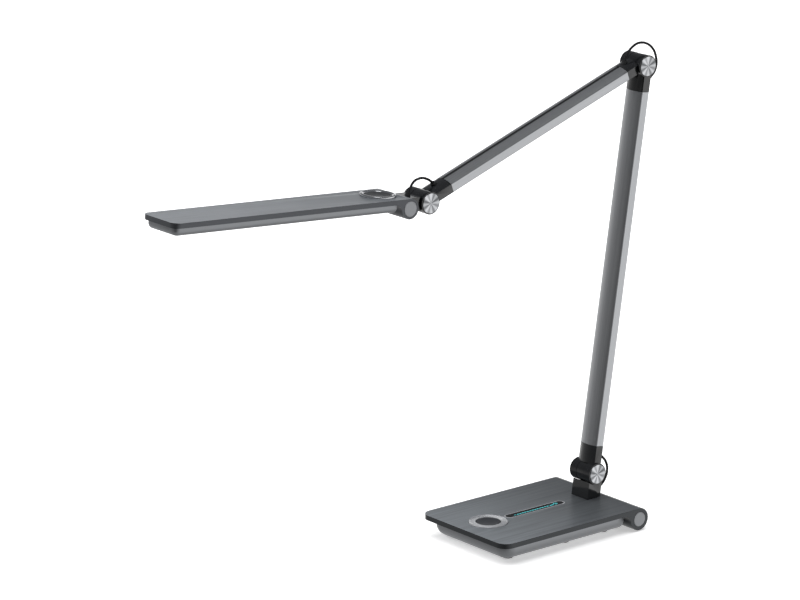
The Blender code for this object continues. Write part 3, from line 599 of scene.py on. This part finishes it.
# %% Fillets under the plates
def fillet_section(tube_r, thickness, fillet_r):
    """Section behind and below a plate, in millimetres; the tube's axis is at (0, -tube_r)."""
    centre_z = -thickness - fillet_r
    rise = centre_z + tube_r
    centre_y = -sqrt((tube_r + fillet_r) ** 2 - rise ** 2)
    end = atan2(-rise, -centre_y)
    angles = [pi / 2 + (end - pi / 2) * step / 12 for step in range(13)]
    arc = [(centre_y + fillet_r * cos(angle), centre_z + fillet_r * sin(angle)) for angle in angles]
    return [(arc[0][0], arc[0][1] + 0.2)] + arc + [(-0.8 * tube_r, -tube_r), (-0.8 * tube_r, -thickness + 0.2)]


FILLETS = {"base": (BASE_FRAME, 11.6, 5.2, 64.97, base_metal), "head": (HEAD_FRAME, 10.1, 5.0, 25.97, head_metal)}
ACROSS = Matrix(((0, 0, 1, 0), (1, 0, 0, 0), (0, 1, 0, 0), (0, 0, 0, 1)))
for body, (flat, tube_r, thickness, half, finish) in FILLETS.items():
    place = flat @ Matrix.Translation((-half * MM, 0.0, 0.0)) @ ACROSS
    section = section_face(fillet_section(tube_r, thickness, 9.0), 0.0)
    fillet = grow(section, extrude_tree, place, Length=2 * half * MM, Finish=finish)
    if mesh_volume(fillet) < 0:
        fillet.flip_normals()
    add_piece(body + "_plate_fillet", smooth(fillet), finish, body)
    print(body, "fillet:", len(fillet.polygons), "faces")

# %% [markdown]
# ## Turned pieces
# Discs, rings and buttons come off a lathe or out of a round mould. One half of the outline, spun about an axis,
# makes each of them. `bmesh.ops.spin` is used because it gives a plain mesh straight away.

# %% Lathe
def spin_outline(name, outline, steps, place):
    """Spins a closed (radius, height) outline in millimetres about Z and puts the mesh in place."""
    bm = bmesh.new()
    points = [bm.verts.new((radius * MM, 0.0, height * MM)) for radius, height in outline]
    edges = [bm.edges.new(pair) for pair in zip(points, points[1:])]
    if outline[0][0] > 0:
        edges.append(bm.edges.new((points[-1], points[0])))
    bmesh.ops.spin(bm, geom=points + edges, cent=(0, 0, 0), axis=(0, 0, 1), angle=2 * pi, steps=steps,
                   use_merge=True)
    bmesh.ops.remove_doubles(bm, verts=bm.verts[:], dist=0.000001)
    bmesh.ops.recalc_face_normals(bm, faces=bm.faces[:])
    bmesh.ops.transform(bm, matrix=place, verts=bm.verts[:])
    mesh = bpy.data.meshes.new(name)
    bm.to_mesh(mesh)
    bm.free()
    return smooth(mesh)


# %% Hinge cover discs
DISC = [(0, 15.45), (1.2, 15.42), (1.5, 15.3), (1.8, 15.4), (8.9, 15.52), (9.5, 15.6), (9.85, 15.5), (10.1, 15.15),
        (10.1, 14.3), (0, 14.3)]
for hinge in ("lower_hinge", "elbow", "head_hinge"):
    for label, turn in (("left", -90), ("right", 90)):
        node = f"{hinge}_disc_{label}"
        place = Matrix.Translation(PIVOT[hinge]) @ Matrix.Rotation(radians(turn), 4, "Y")
        add_piece(node + "_spun", spin_outline(node, DISC, 64, place), disc_metal[hinge], BODY_OF[node], node)
print("cover discs:", 6)

# %% [markdown]
# ## Base button
# The power button is a dark, slightly dished disc in a wide flat ring. The ring is faced on a lathe and has a
# raised outer edge that catches the light.

# %% Base button and ring
BASE_BUTTON_PLACE = BASE_FRAME @ Matrix.Translation((0.0, -145.4 * MM, 0.0))
# The ring's two bright and dark sectors are painted reflections in its colour.
ring_metal = spun_metal_with_painted_sheen("base_ring_spun", tuple(BASE_BUTTON_PLACE.translation), "Z", 2, (0.42, 0.43, 0.45),
                        (0.85, 0.86, 0.88), painted_fan_depth=0.8, metallic=0.6)
BASE_RING = [(19.6, 0.1), (19.5, 0.75), (19.2, 1.1), (18.8, 1.15), (18.4, 0.9), (18.2, 0.7), (13.6, 0.62), (13.2, 0.8),
             (12.85, 0.75), (12.75, 0.4), (12.75, -0.9), (19.6, -0.9)]
add_piece("base_button_ring", spin_outline("ring", BASE_RING, 96, BASE_BUTTON_PLACE), ring_metal, "base",
          "base_button_bezel")
BASE_BUTTON = [(0, 0.05), (5, 0.12), (9, 0.3), (11.6, 0.55), (12.1, 0.5), (12.3, 0.2), (12.3, -3.4), (0, -3.4)]
add_piece("base_button_cap", spin_outline("button", BASE_BUTTON, 64, BASE_BUTTON_PLACE), dial_black, "base_button",
          "base_button")

# %% Head button and ring
HEAD_BUTTON_PLACE = HEAD_FRAME @ Matrix.Translation((0.0, -20.0 * MM, 0.0))
HEAD_RING = [(17.5, 0.05), (17.5, 1.2), (17.2, 1.75), (16.6, 2.05), (15.6, 2.1), (14.4, 1.75), (13.7, 1.2),
             (13.5, 0.6), (13.4, -0.7), (17.5, -0.7)]
add_piece("head_button_ring", spin_outline("ring", HEAD_RING, 96, HEAD_BUTTON_PLACE), polished_steel, "head",
          "head_button_bezel")
HEAD_BUTTON = [(0, 0.75), (7, 0.85), (11, 1.0), (12.4, 1.05), (12.8, 0.9), (13.0, 0.5), (13.0, -3.6), (0, -3.6)]
add_piece("head_button_cap", spin_outline("button", HEAD_BUTTON, 64, HEAD_BUTTON_PLACE), woven_black, "head_button",
          "head_button")
print("buttons and rings:", 4)

# %% [markdown]
# ## Repeats on points
# Feet, tray screws, lights on their board and the marks on the touch strip are each one small shape, repeated.
# This tree puts a unit object on every point of a mesh. The unit is modelled once, at the origin.

# %% Repeat tree
repeat_tree, given = new_tree("repeat_on_points", Unit="Object", Finish="Material")
unit = given["Unit"].node("GeometryNodeObjectInfo", None, {"Object": given["Unit"]}, "Geometry")
copies = unit.node("GeometryNodeInstanceOnPoints", None, {"Points": given["Geometry"], "Instance": unit})
end_tree(copies, given["Finish"])


def repeat(unit_mesh, spots, place, finish):
    """One mesh that holds a copy of the unit on every spot, given in millimetres."""
    points = bpy.data.meshes.new("points")
    points.from_pydata([tuple(value * MM for value in spot) for spot in spots], [], [])
    guide = bpy.data.objects.new("unit", unit_mesh)
    scene_collection.objects.link(guide)
    mesh = grow(points, repeat_tree, place, Unit=guide, Finish=finish)
    bpy.data.objects.remove(guide)
    return smooth(mesh)


# %% Feet and tray screws
FOOT = [(0, 0.0), (4.2, 0.0), (5.1, 0.35), (5.5, 1.0), (5.5, 1.9), (0, 1.9)]
FEET = [(x, y, -24.4) for y in (-154.0, -80.0, -28.0) for x in (-40.0, 40.0)]
feet = repeat(spin_outline("foot", FOOT, 40, Matrix()), FEET, BASE_FRAME, foot_rubber)
add_piece("feet", feet, foot_rubber, "base", *[f"foot_{number}" for number in range(1, 7)])

SCREW = [(0, 0.5), (0.9, 0.5), (1.0, 0.0), (1.9, 0.0), (2.5, 0.35), (2.7, 1.1), (1.5, 1.1), (1.5, 13.4), (0, 13.4)]
SCREWS = [(x, y, -23.6) for y in (-132.0, -54.0) for x in (-36.0, 36.0)]
screws = repeat(spin_outline("screw", SCREW, 24, Matrix()), SCREWS, BASE_FRAME, satin_steel)
add_piece("tray_screws", screws, satin_steel, "base", *[f"undertray_screw_{number}" for number in range(1, 5)])
print("feet:", len(FEET), "screws:", len(SCREWS))

# %% [markdown]
# ## Touch strip
# The strip is polished black plastic flush in a thin silver rim. Small cyan marks show through it: a dot, a long
# row of dashes for the brightness, two more dashes, and a ring at the far end.

# %% Strip and its marks
marks_cyan, marks_shader, marks_start = new_finish("marks_cyan", (0.10, 0.58, 0.60), 0.3, 0.0)
marks_shader.inputs["Emission Strength"].default_value = 0.5
marks_glow = noise(marks_start, placed(marks_start), 700.0)
feed(marks_shader, base_color=marks_glow.between((0.08, 0.50, 0.52), (0.14, 0.68, 0.70)),
     emission_color=marks_glow.between((0.02, 0.42, 0.46), (0.06, 0.62, 0.66)))


def pill(width, length, height, finish):
    """A flat bar with round ends, as a closed mesh that stands on the XY plane."""
    half = width / 2
    reach = length / 2 - half
    around = [radians(step * 11.25) for step in range(33)]
    ring = [(half * cos(angle), reach + half * sin(angle)) for angle in around[:17]]
    ring += [(half * cos(angle), -reach + half * sin(angle)) for angle in around[16:]]
    return grow(section_face(ring[:-1], 0.0), extrude_tree, Length=height * MM, Finish=finish)


STRIP_MIDDLE = -83.9
for node, width, length, low, high, finish in (
        ("touch_strip_rim", 10.6, 77.2, 0.02, 0.14, strip_silver),
        ("touch_strip", 8.9, 75.2, -0.8, 0.2, screen_black)):
    bar = pill(width, length, high - low, finish)
    bar.transform(BASE_FRAME @ Matrix.Translation((0.0, STRIP_MIDDLE * MM, low * MM)))
    add_piece(node + "_bar", smooth(bar), finish, "base", node)


MARK_Z = 0.15
MARK_X = 1.3
DASHES = [(MARK_X, -107.4 + 3.3 * step, MARK_Z) for step in range(13)]
DASHES += [(MARK_X, -63.4, MARK_Z), (MARK_X, -60.9, MARK_Z)]
dashes = repeat(pill(1.1, 2.7, 0.12, marks_cyan), DASHES, BASE_FRAME, marks_cyan)
add_piece("strip_dashes", dashes, marks_cyan, "base")
RAYS = [(1.9 * cos(radians(45 * step)), -56.2 + 1.9 * sin(radians(45 * step)), MARK_Z) for step in range(8)]
DOTS = RAYS + [(0.0, -56.2, MARK_Z), (MARK_X, -111.6, MARK_Z), (MARK_X, -110.4, MARK_Z)]
add_piece("strip_dots", repeat(pill(0.9, 1.1, 0.12, marks_cyan), DOTS, BASE_FRAME, marks_cyan), marks_cyan, "base")
print("marks:", len(DASHES) + len(DOTS))

# %% [markdown]
# ## Lights on the board
# Two rows of small square emitters sit on the board behind the frosted window. They are hidden from above, but a
# reader who takes the window off finds them there.

# %% Light emitters
emitter_yellow = grained("emitter_yellow", (0.75, 0.62, 0.2), 0.35, 0.0, 800.0, 0.00001, 0.1)
EMITTER = [(1.3, 0.0), (1.3, 0.35), (1.0, 0.6), (0, 0.6), (0, 0.0)]
EMITTERS = [(x, -252.0 + 10.0 * step, -9.95) for step in range(21) for x in (-8.0, 8.0)]
emitters = repeat(spin_outline("emitter", list(reversed(EMITTER)), 4, Matrix()), EMITTERS, HEAD_FRAME, emitter_yellow)
add_piece("light_emitters", emitters, emitter_yellow, "head")
print("emitters:", len(EMITTERS))

# %% [markdown]
# ## Braided leads
# A short lead loops over each hinge so that the wire isn't pinched. Its sleeve is a real braid: half the yarns
# wind one way and half the other, and they take turns on the outside. The tree copies the route once for each
# yarn, swings each copy round the route, and gives it a round body. A core fills the middle.

# %% Braid tree
braid_tree, given = new_tree("braided_sleeve", Yarns="Int", Radius="Float", Yarn_Radius="Float", Turns="Float",
                             Finish="Material")
route = given["Radius"].node("GeometryNodeResampleCurve", {"mode": "LENGTH"},
                             {"Curve": given["Geometry"], "Length": 0.0009})
copied = route.node("GeometryNodeDuplicateElements", {"domain": "SPLINE"},
                    {"Geometry": route, "Amount": given["Yarns"]})
number = copied.output("Duplicate Index")
way = number.math("MODULO", number, 2.0) * 2.0 - 1.0
half_count = given["Yarns"] * 0.5
pair = (number * 0.5).math("FLOOR", number * 0.5)
phase = pair.math("DIVIDE", pair, half_count) * (2 * pi)
along = number.node("GeometryNodeSplineParameter", output="Length") * given["Turns"] * (2 * pi)
swing = phase + way * along
lift = (along * half_count).cosine() * way * 0.00016
reach = given["Radius"] + lift
normal = number.node("GeometryNodeInputNormal")
tangent = number.node("GeometryNodeInputTangent")
side = number.node("ShaderNodeVectorMath", {"operation": "CROSS_PRODUCT"}, {0: tangent, 1: normal})
out_part = number.node("ShaderNodeVectorMath", {"operation": "SCALE"},
                       {0: normal, "Scale": swing.cosine() * reach})
side_part = number.node("ShaderNodeVectorMath", {"operation": "SCALE"},
                        {0: side, "Scale": swing.sine() * reach})
offset = number.node("ShaderNodeVectorMath", {"operation": "ADD"}, {0: out_part, 1: side_part})
wound = number.node("GeometryNodeSetPosition", None, {"Geometry": copied, "Offset": offset})
ring = number.node("GeometryNodeCurvePrimitiveCircle", None, {"Resolution": 5, "Radius": given["Yarn Radius"]})
yarn = number.node("GeometryNodeCurveToMesh", None, {"Curve": wound, "Profile Curve": ring, "Fill Caps": True})
core_ring = number.node("GeometryNodeCurvePrimitiveCircle", None, {"Resolution": 12, "Radius": given["Radius"]})
core = number.node("GeometryNodeCurveToMesh", None, {"Curve": route, "Profile Curve": core_ring, "Fill Caps": True})
both = number.node("GeometryNodeJoinGeometry", None, {"Geometry": [yarn, core]})
end_tree(both, given["Finish"])

# %% Grow the leads
LEADS = {
    "lower_hinge_lead": ("lower_hinge", "post", "lower_arm", -1, 0, [
        (11.2, 18.7), (13.4, 16.4), (15.6, 14.4), (18.0, 12.4), (20.6, 9.9), (23.4, 6.9), (25.5, 3.2), (26.7, -0.3),
        (26.8, -4.8), (26.2, -9.0), (24.5, -12.4), (22.4, -15.4), (19.9, -18.0), (16.4, -19.9), (12.4, -20.5),
        (8.2, -20.5)]),
    "elbow_lead": ("elbow", "lower_arm", "upper_arm", -1, 0, [
        (-19.2, 2.0), (-18.0, 4.8), (-16.8, 7.8), (-14.4, 12.4), (-10.3, 16.5), (-6.2, 19.1), (-0.8, 20.9), (5.4, 20.9),
        (11.0, 19.3), (16.6, 16.0), (21.7, 10.5), (23.8, 6.0), (25.0, 1.7), (25.4, -2.6), (24.8, -6.6), (22.8, -11.0),
        (19.4, -14.6), (16.2, -16.9), (13.2, -18.7), (10.2, -20.6)]),
    "head_lead": ("head_hinge", "upper_arm", "head", 0, -1, [
        (16.8, 12.5), (15.4, 14.3), (13.6, 16.0), (11.2, 17.9), (7.5, 20.1), (1.7, 22.0), (-3.3, 22.0), (-7.7, 20.8),
        (-11.1, 18.0), (-13.2, 14.9), (-14.7, 12.3), (-15.9, 10.1), (-17.0, 8.0), (-17.6, 6.9)]),
}


def route_curve(hinge, points):
    """A smooth curve through a lead's route, given from its hinge in millimetres."""
    curve = bpy.data.curves.new("route", "CURVE")
    curve.dimensions = "3D"
    spline = curve.splines.new("BEZIER")
    spline.bezier_points.add(len(points) - 1)
    for control, (y, z) in zip(spline.bezier_points, points):
        control.co = PIVOT[hinge] + Vector((0.0, y, z)) * MM
        control.handle_left_type = "AUTO"
        control.handle_right_type = "AUTO"
    return curve


for node, (hinge, near_body, far_body, near_index, far_index, points) in LEADS.items():
    mesh = grow(route_curve(hinge, points), braid_tree, Yarns=16, Radius=1.0 * MM, Yarn_Radius=0.26 * MM,
                Turns=95.0, Finish=braid_yarn)
    piece = bpy.data.objects.new(node + "_braid", smooth(mesh, 60.0))
    scene_collection.objects.link(piece)
    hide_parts(node)
    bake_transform(piece)
    print(node, "has", len(mesh.polygons), "faces")

# %% [markdown]
# ## Studio
# The floor is plain and pale, and glows a little so that shadows stay soft. The tent around the lamp is a world
# colour that depends only on direction: bright behind the lamp, mid grey on its left, black at one front corner.
# That range is what makes the crowned arms shade from light to dark. The floor is kept out of reflections.

# %% Floor and light
FLOOR_REACH = 30.0
floor_mesh = bpy.data.meshes.new("floor")
corners = [(x * FLOOR_REACH, y * FLOOR_REACH, 0.0) for x, y in ((-1, -1), (1, -1), (1, 1), (-1, 1))]
floor_mesh.from_pydata(corners, [], [(0, 1, 2, 3)])
floor = bpy.data.objects.new("floor", floor_mesh)
scene_collection.objects.link(floor)
floor.visible_diffuse = False
floor.visible_glossy = False
floor_paint, floor_shader, floor_start = new_finish("floor_paint", (0.9, 0.9, 0.9), 0.9, 0.0)
floor_shader.inputs["Emission Strength"].default_value = 1.0
distance = floor_start.node("ShaderNodeVectorMath", {"operation": "LENGTH"}, {0: placed(floor_start)}, "Value")
faint = ((distance - 0.5) * 0.8).clamped()
feed(floor_shader, emission_color=faint.between((0.45, 0.45, 0.45), (1.0, 1.0, 1.0)))
floor_mesh.materials.append(floor_paint)

# %% Tent of light
DARK_CORNER = (0.634, -0.773)
SKY = (0.142, 0.146, 0.153)
world = bpy.data.worlds.new("studio")
world.use_nodes = True
tent = Signal(world.node_tree)
direction = tent.node("ShaderNodeTexCoord", output="Generated")
to_right, to_back, up = split(tent, direction)
walls = tent.node("ShaderNodeValToRGB",
                  {"stops": [(0.0, 0.2), (0.05, 0.24), (0.2, 0.40), (0.5, 0.82), (0.73, 1.15), (0.81, 1.3)]},
                  {"Fac": to_back * 0.5 + 0.5})
corner = ((to_right * DARK_CORNER[0] + to_back * DARK_CORNER[1] - 0.83) * 11.0).clamped()
sides = corner.between(walls, (0.005, 0.005, 0.005))
below = ((0.0 - up - 0.35) * 2.0).clamped()
above = (up * 3.5 + 0.1).clamped()
glow = above.between(below.between(sides, (0.5, 0.5, 0.5)), SKY)
seen = tent.node("ShaderNodeLightPath", output="Is Camera Ray")
backdrop = seen.between(glow, (1.0, 1.0, 1.0))
world.node_tree.links.new(backdrop.socket, world.node_tree.nodes["Background"].inputs["Color"])
world.node_tree.nodes["Background"].inputs["Strength"].default_value = 1.0
bpy.context.scene.world = world
bpy.context.scene.view_settings.view_transform = "Standard"
print("tent nodes:", len(world.node_tree.nodes))


# %% Soft lights
def soft_light(name, place, aim, size, power, in_reflections):
    """A square area light that faces a point; it may be kept out of reflections."""
    light = bpy.data.lights.new(name, "AREA")
    light.size = size
    light.energy = power
    lamp = bpy.data.objects.new(name, light)
    lamp.location = place
    lamp.rotation_euler = (Vector(aim) - Vector(place)).to_track_quat("-Z", "Y").to_euler()
    lamp.visible_glossy = in_reflections
    scene_collection.objects.link(lamp)
    return lamp


soft_light("overhead", (1.1, -0.9, 3.0), (0.0, 0.0, 0.2), 1.6, 14.0, True)
soft_light("floor_wash", (0.0, 0.0, 4.0), (0.0, 0.0, 0.0), 4.0, 160.0, False)
soft_light("front_left", (-0.5, -0.7, 0.95), (0.0, -0.1, 0.3), 0.6, 7.0, False)
print("lights:", len(bpy.data.lights))
